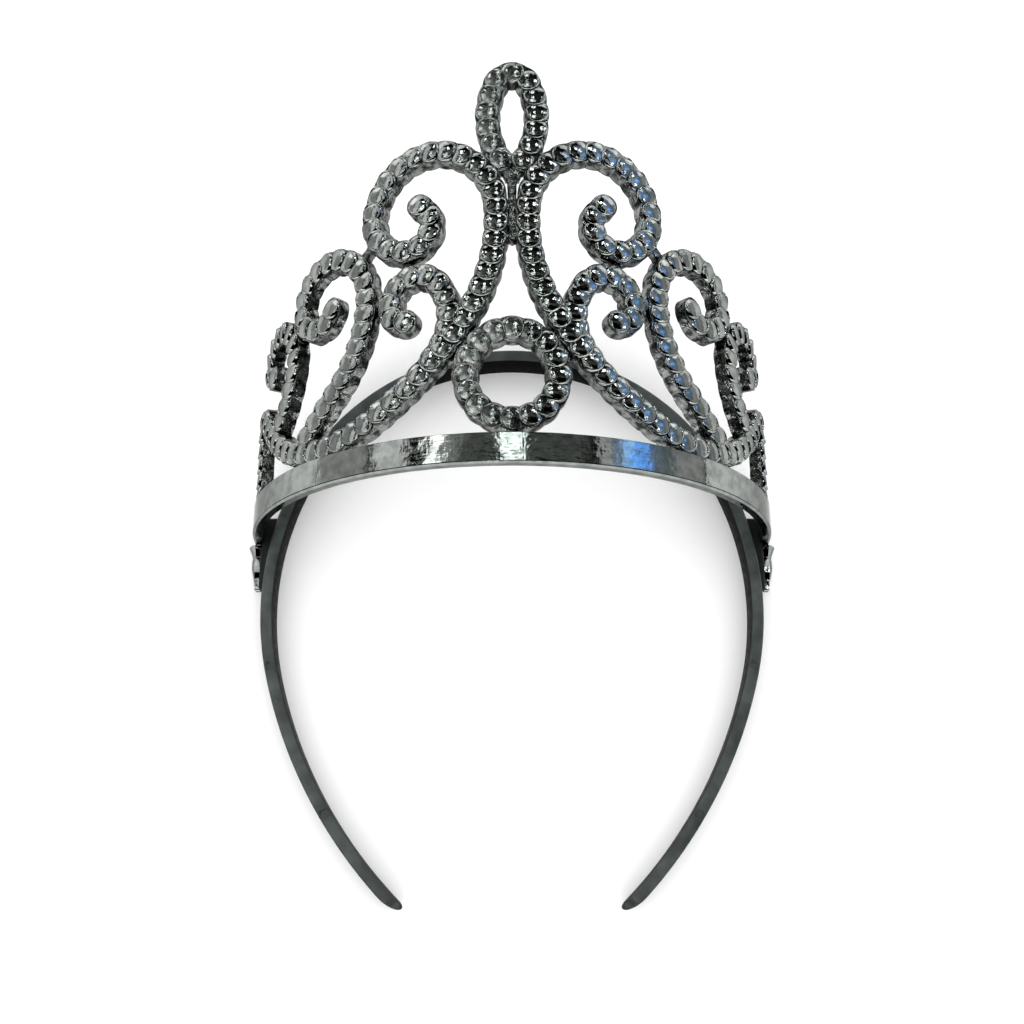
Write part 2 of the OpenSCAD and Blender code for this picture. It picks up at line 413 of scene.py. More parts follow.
@dataclass
class Moulding:
    """Points and faces of one piece, gathered before its mesh is made."""

    name: str
    points: list[Vector] = field(default_factory=list)
    faces: list[tuple[int, ...]] = field(default_factory=list)
    crease: float = 32
    join: float = 0.0002

    def tube(self, rings: list[list[Vector]], closed: bool = False) -> None:
        """Adds a skin over rings of points, with a face on each end unless it closes on itself.

        Args:
            rings: Rings with the same number of points, in millimetres.
            closed: Whether the last ring joins the first.
        """
        first = len(self.points)
        count = len(rings[0])
        for ring in rings:
            self.points.extend(ring)
        steps = len(rings) if closed else len(rings) - 1
        for i in range(steps):
            here = first + i * count
            there = first + (i + 1) % len(rings) * count
            for j in range(count):
                k = (j + 1) % count
                self.faces.append((here + j, here + k, there + k, there + j))
        if not closed:
            self.faces.append(tuple(first + j for j in reversed(range(count))))
            self.faces.append(tuple(first + (len(rings) - 1) * count + j for j in range(count)))

    def turned(
        self, profile: list[tuple[float, float, float]], sides: int, frame_at: Matrix, lean: float
    ) -> None:
        """Adds a turned form whose first profile point lies on its axis.

        Args:
            profile: Radius and height of each point, in millimetres, and its share of the lean.
            sides: How many sides it has.
            frame_at: Where its axes stand, in millimetres.
            lean: How far its rim leans against its middle, in degrees.
        """
        first = len(self.points)
        self.points.append(frame_at @ Vector((0, 0, profile[0][1])))
        rings = profile[1:]
        for radius, height, share in rings:
            leaned = frame_at @ Matrix.Rotation(math.radians(lean * share), 4, "Y")
            for j in range(sides):
                turn = 2 * math.pi * j / sides
                corner = Vector((radius * math.cos(turn), radius * math.sin(turn), height))
                self.points.append(leaned @ corner)
        for j in range(sides):
            self.faces.append((first, first + 1 + j, first + 1 + (j + 1) % sides))
        for i in range(len(rings) - 1):
            here = first + 1 + i * sides
            for j in range(sides):
                k = (j + 1) % sides
                self.faces.append((here + j, here + sides + j, here + sides + k, here + k))
        last = first + 1 + (len(rings) - 1) * sides
        self.faces.append(tuple(last + j for j in reversed(range(sides))))

    def piece(self, material: bpy.types.Material, slot: Slot, node: Node) -> bpy.types.Object:
        """Makes the piece and ties it to the frame.

        Args:
            material: Its finish.
            slot: The record's slot that the finish belongs to; not used.
            node: The solid that it stands for.

        Returns:
            The new object.
        """
        mesh = bpy.data.meshes.new(self.name)
        mesh.from_pydata([p * MM for p in self.points], [], self.faces)
        sketch = bmesh.new()
        sketch.from_mesh(mesh)
        bmesh.ops.remove_doubles(sketch, verts=sketch.verts, dist=self.join * MM)
        bmesh.ops.recalc_face_normals(sketch, faces=sketch.faces)
        for face in sketch.faces:
            face.smooth = True
        sketch.to_mesh(mesh)
        sketch.free()
        mesh.set_sharp_from_angle(angle=math.radians(self.crease))
        mesh.materials.append(material)
        made = bpy.data.objects.new(self.name, mesh)
        bpy.context.scene.collection.objects.link(made)
        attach(made, ROOT)
        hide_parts(node.value)
        LOG.info("%s: %d faces", self.name, len(mesh.polygons))
        return made


# Lines


@dataclass(frozen=True)
class Arc:
    """One arc of a line: its radius, and its sweep in degrees, positive to the left."""

    radius: float
    sweep: float


@dataclass(frozen=True)
class Spot:
    """A place on a line."""

    x: float
    y: float
    heading: float


def trace(start: tuple[float, float], heading: float, arcs: tuple[Arc, ...], step: float) -> list[Spot]:
    """Walks along tangent arcs.

    Args:
        start: The first point.
        heading: The direction there, in degrees.
        arcs: The arcs in order.
        step: The longest step.

    Returns:
        The places along them.
    """
    x, y = start
    spots = [Spot(x, y, heading)]
    for arc in arcs:
        steps = max(1, math.ceil(arc.radius * math.radians(abs(arc.sweep)) / step))
        turn = arc.sweep / steps
        chord = 2 * arc.radius * math.sin(math.radians(abs(turn)) / 2)
        for _ in range(steps):
            middle = math.radians(heading + turn / 2)
            x += chord * math.cos(middle)
            y += chord * math.sin(middle)
            heading += turn
            spots.append(Spot(x, y, heading))
    return spots


class Line:
    """A line of places that can be asked for by distance."""

    def __init__(self, spots: list[Spot], closed: bool = False) -> None:
        """Measures a line.

        Args:
            spots: The places along it, in millimetres.
            closed: Whether it ends where it starts.
        """
        self.spots = spots
        self.closed = closed
        self.run = [0.0]
        for a, b in zip(spots, spots[1:]):
            self.run.append(self.run[-1] + math.hypot(b.x - a.x, b.y - a.y))
        self.length = self.run[-1]

    def at(self, distance: float) -> Spot:
        """The place at a distance, straight on past an open end.

        Args:
            distance: The distance from the start, in millimetres.

        Returns:
            The place.
        """
        turns = 0.0
        if self.closed:
            turns = math.floor(distance / self.length)
            distance -= turns * self.length
        inside = min(max(distance, 0.0), self.length)
        i = min(bisect_right(self.run, inside), len(self.run) - 1)
        a, b = self.spots[i - 1], self.spots[i]
        share = (inside - self.run[i - 1]) / (self.run[i] - self.run[i - 1])
        heading = a.heading + (b.heading - a.heading) * share
        past = distance - inside
        return Spot(
            a.x + (b.x - a.x) * share + past * math.cos(math.radians(heading)),
            a.y + (b.y - a.y) * share + past * math.sin(math.radians(heading)),
            heading,
        )


@dataclass(frozen=True)
class CrownCurve:
    """The half round that the crown's band and openwork follow."""

    band_radius: float = 61.8
    bead_rise: float = 1.2
    middle_height: float = 4.0
    band_low: float = -48.8
    band_height: float = 6.5
    pattern_height: float = 87.6
    pattern_reach: float = 77.0
    reach_share: float = 0.945

    @property
    def rib_radius(self) -> float:
        """Radius of the ribs' outer face."""
        return self.band_radius - self.bead_rise

    @property
    def lace_low(self) -> float:
        """Where the openwork starts, at the band's top edge."""
        return self.band_low + self.band_height

    def flat(self, u: float, v: float) -> tuple[float, float]:
        """Puts a pattern point on the ribs' outer face.

        Args:
            u: Its share across from the middle.
            v: Its share up from the band's top edge.

        Returns:
            Millimetres round the face and along the crown.
        """
        across = math.radians(self.pattern_reach / self.reach_share) * self.rib_radius
        return u * across, self.lace_low + v * self.pattern_height

    def point(self, s: float, y: float, radius: float) -> Vector:
        """A flat point put on the curve.

        Args:
            s: Distance round the ribs' outer face from the middle.
            y: Place along the crown.
            radius: Distance from the curve's axis.

        Returns:
            The point.
        """
        turn = s / self.rib_radius
        return Vector((radius * math.sin(turn), y, self.middle_height + radius * math.cos(turn)))

    def axes(self, spot: Spot) -> tuple[Vector, Vector, Vector]:
        """Directions along a line, to its left and outwards.

        Args:
            spot: A flat place on the line.

        Returns:
            The three unit vectors.
        """
        turn = spot.x / self.rib_radius
        round_it = Vector((math.cos(turn), 0, -math.sin(turn)))
        along = Vector((0, 1, 0))
        out = Vector((math.sin(turn), 0, math.cos(turn)))
        c, s = math.cos(math.radians(spot.heading)), math.sin(math.radians(spot.heading))
        return c * round_it + s * along, c * along - s * round_it, out


@dataclass(frozen=True)
class ChainPlan:
    """One chain of the pattern, in shares of the pattern's height."""

    name: str
    start: tuple[float, float]
    heading: float
    arcs: tuple[Arc, ...]
    layer: int = 0
    closed: bool = False
    even: bool = False

    def line(self, curve: CrownCurve, step: float = 0.2) -> Line:
        """The chain's line in millimetres.

        Args:
            curve: The crown's curve.
            step: The longest step.

        Returns:
            The line.
        """
        spots = trace(self.start, self.heading, self.arcs, step / curve.pattern_height)
        return Line([Spot(*curve.flat(p.x, p.y), p.heading) for p in spots], self.closed)


MAIN = ChainPlan("main", (0.925, 0.02), 84, (
    Arc(1.345, 6.5), Arc(0.045, 143.6), Arc(0.049, -9.5), Arc(0.893, -11.5), Arc(0.339, -62.4),
    Arc(0.663, -33), Arc(0.468, -34.6), Arc(0.166, -161.6), Arc(0.11, -92.9), Arc(0.064, -159.9),
))
LOWER = ChainPlan("lower", (0.195, 0.201), 126, (
    Arc(0.691, -2), Arc(0.152, -70.1), Arc(0.071, -165), Arc(0.036, -80),
), layer=1)
MIDDLE = ChainPlan("middle", (0.617, 0.05), 142, (
    Arc(2, -5), Arc(0.307, -51), Arc(0.132, -128), Arc(0.08, -158), Arc(0.038, -67),
), layer=2)
OUTER = ChainPlan("outer", (0.763, 0.135), 145, (
    Arc(0.235, -49), Arc(0.103, -146), Arc(0.042, -140),
), layer=1)
LOOP = ChainPlan("loop", (0.0275, 0.72), 58, (
    Arc(0.236, 56), Arc(0.047, 132), Arc(0.236, 56),
), layer=1, even=True)
RING = ChainPlan("ring", (0, 0.268), 180, (Arc(0.115, 360),), layer=2, closed=True, even=True)
SIDE_CHAINS = (MAIN, LOWER, MIDDLE, OUTER)
MIDDLE_CHAINS = (LOOP, RING)


# The crown's pieces


@dataclass(frozen=True)
class Bead:
    """A bead: a shallow dome inside a lipped disc with a bevelled edge, like a cupped sequin.

    The edge's rows hold radius, height and the share of the disc's lean.
    """

    dome_radius: float = 2.05
    dome_top: float = 0.56
    ball: float = 8.0
    edge: tuple[tuple[float, float, float], ...] = (
        (2.12, 0.287, 0.25), (2.2, 0.325, 0.6), (2.28, 0.345, 0.9), (2.36, 0.3, 1), (2.45, 0.17, 1),
        (2.55, 0, 1), (2.62, -0.16, 1), (2.65, -0.34, 1), (2.45, -0.5, 1),
    )
    rings: int = 6
    sides: int = 32

    def profile(self) -> list[tuple[float, float, float]]:
        """Rows from the dome's top to the foot.

        Returns:
            Radius, height and share of the lean of each row.
        """
        widest = math.asin(self.dome_radius / self.ball)
        dome = []
        for i in range(self.rings + 1):
            turn = widest * i / self.rings
            dome.append((self.ball * math.sin(turn), self.dome_top - self.ball * (1 - math.cos(turn)), 0))
        return dome + list(self.edge)


@dataclass(frozen=True)
class Rib:
    """The rib under a chain: a flat-topped bar whose sides swell round each bead.

    The shoulder's rows hold how far it stands in and down from the top corner, in edges.
    """

    half_width: float = 2.78
    depth: float = 2.6
    scallop: float = 0.34
    draft: float = 0.14
    edge: float = 0.14
    shoulder: tuple[tuple[float, float], ...] = ((2, 0), (0.3, 0.4), (0, 1.4))
    top_sink: float = -0.22
    stations: int = 12
    end_stations: int = 9
    end_half: float = 0.35

    def section(self, half: float) -> list[tuple[float, float]]:
        """Corners of the section as places across and heights from the outer face.

        Args:
            half: Half of its width at the top.

        Returns:
            The corners, round the section.
        """
        top, low = -self.top_sink, -self.depth
        right = [
            *((half - inward * self.edge, top - down * self.edge) for inward, down in self.shoulder),
            (half + self.draft, low + self.edge),
            (half + self.draft - self.edge, low),
        ]
        return right + [(-x, z) for x, z in reversed(right)]


@dataclass
class BeadChain:
    """A chain of beads on its rib."""

    plan: ChainPlan
    curve: CrownCurve
    rib: Rib
    bead: Bead
    pitch: float = 3.85
    tilt: float = 4.5
    disc_lean: float = 6.5
    lift: float = 0.42
    wobble: float = 1.6
    size_spread: float = 0.012
    layer_step: float = 0.12

    def __post_init__(self) -> None:
        """Lays out the line and the places of the beads."""
        self.line = self.plan.line(self.curve)
        if self.plan.even:
            self.gaps = 2 * round(self.line.length / 2 / self.pitch)
        else:
            self.gaps = round(self.line.length / self.pitch)
        self.gap = self.line.length / self.gaps
        self.top = self.curve.rib_radius - self.plan.layer * self.layer_step

    def half_width(self, distance: float) -> float:
        """Half of the rib's width at a distance: widest beside each bead."""
        off = abs(distance / self.gap - round(distance / self.gap)) * 2
        return self.rib.half_width - self.rib.scallop * off ** 2

    def ring(self, distance: float, half: float, side: Side) -> list[Vector]:
        """One section of the rib, put on the crown.

        Args:
            distance: Where along the chain.
            half: Half of the rib's width there.
            side: Which half of the crown.

        Returns:
            The section's points.
        """
        spot = self.line.at(distance)
        c, s = math.cos(math.radians(spot.heading)), math.sin(math.radians(spot.heading))
        made = []
        for across, height in self.rib.section(half):
            place = self.curve.point(spot.x - s * across, spot.y + c * across, self.top + height)
            made.append(Vector((place.x * side.value, place.y, place.z)))
        return made

    def build_rib(self, name: str, side: Side) -> Moulding:
        """The rib's mesh.

        Args:
            name: The piece's name.
            side: Which half of the crown.

        Returns:
            The mesh's points and faces.
        """
        made = Moulding(name)
        count = self.gaps * self.rib.stations
        distances = [self.line.length * i / count for i in range(count + 1)]
        body = [self.ring(distance, self.half_width(distance), side) for distance in distances]
        if self.plan.closed:
            made.tube(body[:-1], closed=True)
            return made
        start, end = [], []
        for i in range(1, self.rib.end_stations + 1):
            turn = math.pi / 2 * i / self.rib.end_stations
            half = max(self.rib.half_width * math.cos(turn), self.rib.end_half)
            past = self.rib.half_width * math.sin(turn)
            start.insert(0, self.ring(-past, half, side))
            end.append(self.ring(self.line.length + past, half, side))
        made.tube(start + body + end)
        return made

    def build_beads(self, name: str, side: Side, dice: random.Random) -> Moulding:
        """The beads' mesh. Each bead's rear edge lies on the bead before it.

        Args:
            name: The piece's name.
            side: Which half of the crown.
            dice: Where the small differences between beads come from.

        Returns:
            The mesh's points and faces.
        """
        made = Moulding(name, crease=40)
        profile = self.bead.profile()
        mirror = Matrix.Diagonal((side.value, 1, 1, 1))
        count = self.gaps if self.plan.closed else self.gaps + 1
        for k in range(count):
            spot = self.line.at(k * self.gap)
            forward, left, out = self.curve.axes(spot)
            pitch = math.radians(self.tilt + dice.uniform(-self.wobble, self.wobble))
            roll = math.radians(dice.uniform(-self.wobble, self.wobble))
            lean = Matrix.Rotation(pitch, 3, left) @ Matrix.Rotation(roll, 3, forward)
            size = 1 + dice.uniform(-self.size_spread, self.size_spread)
            axes = (lean @ forward * size, lean @ left * size, lean @ out * size)
            centre = self.curve.point(spot.x, spot.y, self.top + self.lift)
            stand = Matrix.Translation(centre) @ Matrix(axes).transposed().to_4x4()
            made.turned(profile, self.bead.sides, mirror @ stand, self.disc_lean)
        return made


@dataclass(frozen=True)
class Web:
    """A short crumpled web of plating that ties two chains."""

    start: tuple[float, float]
    end: tuple[float, float]
    middle_half: float = 1.1
    end_half: float = 1.9
    rounds: int = 14
    sides: int = 16
    crumple: float = 0.16
    crumple_rate: float = 1.7
    sink: float = 0.2
    side_power: float = 0.6
    top_power: float = 0.5
    end_bluntness: float = 0.97
    end_steepness: float = 12

    def rings(self, curve: CrownCurve, rib: Rib, mirror: int) -> list[list[Vector]]:
        """Sections from one end to the other.

        Args:
            curve: The crown's curve.
            rib: The rib whose depth it keeps.
            mirror: 1 or -1, the sign of its x.

        Returns:
            Rings of points.
        """
        (s0, y0), (s1, y1) = curve.flat(*self.start), curve.flat(*self.end)
        heading = math.atan2(y1 - y0, s1 - s0)
        middle_depth = -rib.depth / 2
        half_depth = rib.depth / 2 - self.sink
        made = []
        for i in range(self.rounds + 1):
            share = i / self.rounds
            s, y = s0 + (s1 - s0) * share, y0 + (y1 - y0) * share
            half = self.middle_half + (self.end_half - self.middle_half) * (2 * share - 1) ** 2
            end = max(0.0, self.end_bluntness - self.end_steepness * min(share, 1 - share))
            half *= math.sqrt(1 - end ** 2)
            ring = []
            for j in range(self.sides):
                turn = 2 * math.pi * j / self.sides
                across = half * math.copysign(abs(math.cos(turn)) ** self.side_power, math.cos(turn))
                rise = math.copysign(abs(math.sin(turn)) ** self.top_power, math.sin(turn))
                height = middle_depth + half_depth * rise
                spot = (s - math.sin(heading) * across, y + math.cos(heading) * across)
                place = curve.point(*spot, curve.rib_radius + height)
                place += noise.noise_vector(place * self.crumple_rate) * self.crumple
                ring.append(Vector((place.x * mirror, place.y, place.z)))
            made.append(ring)
        return made


@dataclass(frozen=True)
class Webs:
    """All the webs of the openwork, and the ring's foot."""

    curve: CrownCurve
    rib: Rib
    sides: tuple[Web, ...] = (
        Web((0.085, 0.219), (0.146, 0.27)),
        Web((0.357, 0.552), (0.418, 0.491)),
        Web((0.283, 0.5), (0.256, 0.42)),
        Web((0.305, 0.362), (0.38, 0.378)),
        Web((0.617, 0.432), (0.68, 0.384)),
        Web((0.05, 0.738), (0, 0.672)),
    )
    middle: tuple[Web, ...] = (
        Web((0, 0.497), (0, 0.7), 0.95, 1.35, rounds=48),
        Web((0, 0.05), (0, -0.02), 1.5, 1.7),
    )
    seed: int = 7

    def build(self) -> Moulding:
        """The webs' mesh, with sharp small faces that glint.

        Returns:
            The mesh's points and faces.
        """
        noise.seed_set(self.seed)
        made = Moulding("openwork_webs", crease=14)
        for web in self.sides:
            for side in Side:
                made.tube(web.rings(self.curve, self.rib, side.value))
        for web in self.middle:
            made.tube(web.rings(self.curve, self.rib, 1))
        return made


@dataclass(frozen=True)
class SmoothBand:
    """The smooth half hoop that carries the openwork, with the plain backs of its end tabs."""

    curve: CrownCurve
    wall: float = 2.4
    pad_face: float = 60.3
    let_in: float = 8.3
    bevel: float = 0.5
    edge: float = 0.12
    crease: tuple[tuple[float, float], ...] = ((0.16, 0.1), (0.09, 0.24), (0.02, 0.1))
    foot: float = 0.6
    low_steps: int = 6
    turns: int = 300
    rows: int = 8
    wave: float = 0.018
    wave_length: float = 9.0

    def section(self, inner: float) -> list[tuple[float, float]]:
        """Places along the crown and radii round the band's section.

        Args:
            inner: The inner radius.

        Returns:
            The section's corners.
        """
        low, radius = self.curve.band_low, self.curve.band_radius
        high = low + self.curve.band_height
        face = low + self.bevel
        outer = [(face + (high - self.edge - face) * i / self.rows, radius) for i in range(self.rows + 1)]
        return [
            (low + self.edge, inner),
            (low, inner + self.edge),
            (low, radius - self.bevel - self.edge),
            (low + self.edge / 2, radius - self.bevel),
            *((face - across, radius - deep) for across, deep in self.crease),
            *outer,
            (high, radius - self.edge),
            (high, inner + self.edge),
            (high - self.edge, inner),
        ]

    def ring(self, turn: float, inner: float) -> list[Vector]:
        """One section at an angle from the top.

        Args:
            turn: The angle, in radians.
            inner: The inner radius.

        Returns:
            The section's points.
        """
        made = []
        for y, radius in self.section(inner):
            up = self.curve.middle_height + radius * math.cos(turn)
            place = Vector((radius * math.sin(turn), y, up))
            swell = noise.noise(place / self.wave_length) * self.wave
            made.append(place * (1 + swell / radius))
        return made

    def foot_ring(self, side: Side, height: float) -> list[Vector]:
        """One section of the flat end below the hoop.

        Args:
            side: Which end.
            height: Its height over the floor.

        Returns:
            The section's points.
        """
        return [Vector((side.value * radius, y, height)) for y, radius in self.section(self.pad_face)]

    def build(self) -> Moulding:
        """The band's mesh.

        Returns:
            The mesh's points and faces.
        """
        made = Moulding("crown_band", crease=26)
        inner = self.curve.band_radius - self.wall
        step_turn = math.acos((self.let_in - self.curve.middle_height) / self.curve.band_radius)
        fall = math.pi / 2 - step_turn
        low = [math.pi / 2 - fall * i / self.low_steps for i in range(self.low_steps + 1)]
        left = [self.foot_ring(Side.LEFT, self.foot)]
        left += [self.ring(-turn, self.pad_face / math.sin(turn)) for turn in low]
        thick = [self.ring(step_turn * (2 * i / self.turns - 1), inner) for i in range(self.turns + 1)]
        right = [self.ring(turn, self.pad_face / math.sin(turn)) for turn in reversed(low)]
        right.append(self.foot_ring(Side.RIGHT, self.foot))
        made.tube(left + thick + right)
        return made


@dataclass(frozen=True)
class LeafRow:
    """A row of the end tab's leaf: place down the drop, width and relief as shares."""

    place: float
    width: float
    relief: float


@dataclass(frozen=True)
class EndTab:
    """The ornamental tab that hangs below each end of the band, over the pad."""

    curve: CrownCurve
    pad_face: float = 60.3
    wall: float = 1.5
    drop: float = 11.0
    width: float = 6.8
    relief: float = 1.6
    eye_radius: float = 0.65
    eye_place: float = 0.21
    eye_skin: float = 0.35
    vein_height: float = 0.12
    vein_half: float = 0.5
    arch_power: float = 2.2
    edge_share: float = 0.86
    barb_place: float = -0.26
    barb_half: float = 0.12
    barb_levels: tuple[tuple[float, float], ...] = (
        (1.0, -0.4), (1.0, 0.02), (0.72, 0.2), (0.4, 0.55), (0.12, 0.85),
    )
    barb_corners: tuple[tuple[float, float], ...] = (
        (-1, -1), (0, -1.15), (1, -1), (1.15, 0), (1, 1), (0, 1.15), (-1, 1), (-1.15, 0),
    )
    rows: tuple[LeafRow, ...] = (
        LeafRow(-0.02, 0.95, -0.02), LeafRow(0.018, 0.6, 0), LeafRow(0.03, 1, 1), LeafRow(0.12, 0.74, 0.7),
        LeafRow(0.26, 0.46, 0.38), LeafRow(0.36, 0.62, 0.47), LeafRow(0.49, 0.82, 0.5),
        LeafRow(0.62, 0.7, 0.3), LeafRow(0.74, 0.52, 0.12), LeafRow(0.9, 0.34, -0.15),
        LeafRow(0.98, 0.26, -0.32), LeafRow(1, 0.18, -0.4),
    )
    root: float = -0.02
    steps: int = 90
    sharp_places: tuple[float, float] = (0.018, 0.0295)
    across: int = 12

    def row_at(self, place: float) -> LeafRow:
        """The leaf's width and relief at a place down the drop.

        Args:
            place: Its share of the drop.

        Returns:
            The row there.
        """
        i = 1
        while i < len(self.rows) - 1 and self.rows[i].place < place:
            i += 1
        a, b = self.rows[i - 1], self.rows[i]
        share = min(max((place - a.place) / (b.place - a.place), 0), 1)
        width = a.width + (b.width - a.width) * share
        return LeafRow(place, width, a.relief + (b.relief - a.relief) * share)

    def ring(self, place: float, side: Side) -> list[Vector]:
        """One section of the leaf across the leg.

        Args:
            place: Its place down the drop.
            side: Which end of the band.

        Returns:
            The section's points.
        """
        row = self.row_at(place)
        half = row.width * self.width / 2
        y = self.curve.band_low - place * self.drop
        off = (place - self.eye_place) * self.drop
        hollow = math.sqrt(max(self.eye_radius ** 2 - off ** 2, 0))
        middle = self.curve.middle_height
        made = [
            Vector((side.value * (self.pad_face + hollow), y, middle + half)),
            Vector((side.value * (self.pad_face + hollow), y, middle - half)),
        ]
        for i in range(self.across + 1):
            t = -1 + 2 * i / self.across
            arch = 1 - abs(t) ** self.arch_power
            vein = self.vein_height * math.exp(-(t * half / self.vein_half) ** 2)
            swell = self.wall * (1 - self.edge_share) + row.relief * self.relief
            thick = self.wall * self.edge_share + swell * arch + vein
            x = self.pad_face + max(thick, hollow + self.eye_skin)
            made.append(Vector((side.value * x, y, middle + t * half)))
        return made

    def build(self, side: Side) -> Moulding:
        """The tab's mesh, with the barb on the band's end.

        Args:
            side: Which end of the band.

        Returns:
            The mesh's points and faces.
        """
        made = Moulding(f"end_tab_{side.word}", crease=30)
        even = {self.root + (1 - self.root) * i / self.steps for i in range(self.steps + 1)}
        made.tube([self.ring(place, side) for place in sorted(even | set(self.sharp_places))])
        y = self.curve.band_low - self.barb_place * self.drop
        half = self.barb_half * self.drop
        rings = []
        for share, rise in self.barb_levels:
            x = self.curve.band_radius + rise * self.relief / 2
            reach = share * half
            rings.append([
                Vector((side.value * x, y + reach * dy, self.curve.middle_height + reach * dz))
                for dy, dz in self.barb_corners
            ])
        made.tube(rings)
        return made


# The headband


@dataclass(frozen=True)
class Headband:
    """The black strip, bent to an open arch, with a pad on each leg and its ejector marks."""

    width: float = 119.0
    depth: float = 8.0
    wall: float = 2.8
    arch: tuple[Arc, ...] = (Arc(0.972, -64), Arc(1.237, -40), Arc(1.85, -32.6))
    edge: float = 0.4
    edge_shares: tuple[float, float] = (0.6, 0.45)
    edge_steps: int = 4
    step: float = 0.9
    tip_steps: int = 24
    tip_outer: float = 5.6
    tip_inner: float = 1.9
    tip_place: float = 0.75
    tip_inset: float = 0.15
    tip_last: float = 0.004
    pad_face: float = 60.3
    pad_depth: float = 6.0
    pad_high: float = -42.3
    pad_low: float = -59.8
    pad_chamfer: float = 0.3
    pad_steps: int = 16
    marks: tuple[tuple[int, float], ...] = ((1, 0.955), (2, 0.56))
    mark_radius: float = 0.9
    mark_depth: float = 0.15
    mark_sides: int = 36

    def line(self) -> Line:
        """The outer line from the top of the arch to the right tip.

        Returns:
            The line.
        """
        half = self.width / 2
        arcs = tuple(Arc(arc.radius * half, arc.sweep) for arc in self.arch)
        return Line(trace((0, self.wall / 2), 0, arcs, self.step))

    def section(self, off: float) -> list[tuple[float, float]]:
        """Places through the wall and heights round the strip's section.

        Args:
            off: How far the section is from the strip's end, in millimetres.

        Returns:
            The section's corners, starting at the outer line.
        """
        middle = self.depth / 2
        half_depth = self.rounded(off, middle, middle)
        place = self.tip_place * self.wall
        outer = place - self.rounded(off - self.tip_inset, self.tip_outer - self.tip_inset, place)
        inside = self.tip_inner - self.tip_inset
        inner = place + self.rounded(off - self.tip_inset, inside, self.wall - place)
        edge = min(self.edge, half_depth * self.edge_shares[0], (inner - outer) * self.edge_shares[1])
        made = []
        high, low = middle + half_depth - edge, middle - half_depth + edge
        for wall, height, start in (
            (outer + edge, high, 180),
            (inner - edge, high, 90),
            (inner - edge, low, 0),
            (outer + edge, low, -90),
        ):
            for i in range(self.edge_steps + 1):
                turn = math.radians(start - 90 * i / self.edge_steps)
                made.append((wall + edge * math.cos(turn), height + edge * math.sin(turn)))
        return made

    def rounded(self, off: float, length: float, reach: float) -> float:
        """How far a rounding reaches at a distance from its end, up to its full reach."""
        share = min(max(off / length, 0.0), 1.0)
        return reach * math.sqrt(1 - (1 - share) ** 2)

    def ring(self, spot: Spot, off: float) -> list[Vector]:
        """One section of the strip.

        Args:
            spot: The place on its outer line.
            off: How far it is from the strip's end, in millimetres.

        Returns:
            The section's points.
        """
        turn = math.radians(spot.heading)
        return [
            Vector((spot.x + math.sin(turn) * wall, spot.y - math.cos(turn) * wall, height))
            for wall, height in self.section(off)
        ]

    def half_strip(self) -> list[list[Vector]]:
        """Sections from the top of the arch to the right tip.

        Returns:
            Rings of points.
        """
        line = self.line()
        body = line.length - self.tip_outer
        count = math.ceil(body / self.step)
        offs = [line.length - body * i / count for i in range(count + 1)]
        reach = self.tip_outer - self.tip_inset
        for i in range(1, self.tip_steps + 1):
            share = 1 - math.sin(math.pi / 2 * i / self.tip_steps)
            offs.append(self.tip_inset + max(share * reach, self.tip_last))
        return [self.ring(line.at(line.length - off), off) for off in offs]

    def leg_x(self, y: float) -> float:
        """How far out the right leg's outer face is.

        Args:
            y: The place along the part.

        Returns:
            Its distance from the middle, in millimetres.
        """
        spots = self.line().spots
        for a, b in zip(spots, spots[1:]):
            if b.y <= y <= a.y:
                return a.x + (b.x - a.x) * (a.y - y) / (a.y - b.y)
        return spots[-1].x

    def pad_rings(self, side: Side) -> list[list[Vector]]:
        """Sections of a pad from its lower end to its upper end.

        Args:
            side: Which leg.

        Returns:
            Rings of points.
        """
        chamfer, steps = self.pad_chamfer, self.pad_steps
        low, high = (self.depth - self.pad_depth) / 2, (self.depth + self.pad_depth) / 2
        made = []
        for i in range(-1, steps + 2):
            share = min(max(i, 0), steps) / steps
            inset = chamfer if i < 0 or i > steps else 0
            y = self.pad_low + (self.pad_high - self.pad_low) * share
            if i == 0:
                y += chamfer
            if i == steps:
                y -= chamfer
            inner = self.leg_x(y) - self.wall / 2
            face = self.pad_face - inset
            made.append([
                Vector((side.value * x, y, z)) for x, z in (
                    (inner, low + inset), (face - chamfer, low + inset), (face, low + chamfer + inset),
                    (face, high - chamfer - inset), (face - chamfer, high - inset), (inner, high - inset),
                )
            ])
        return made

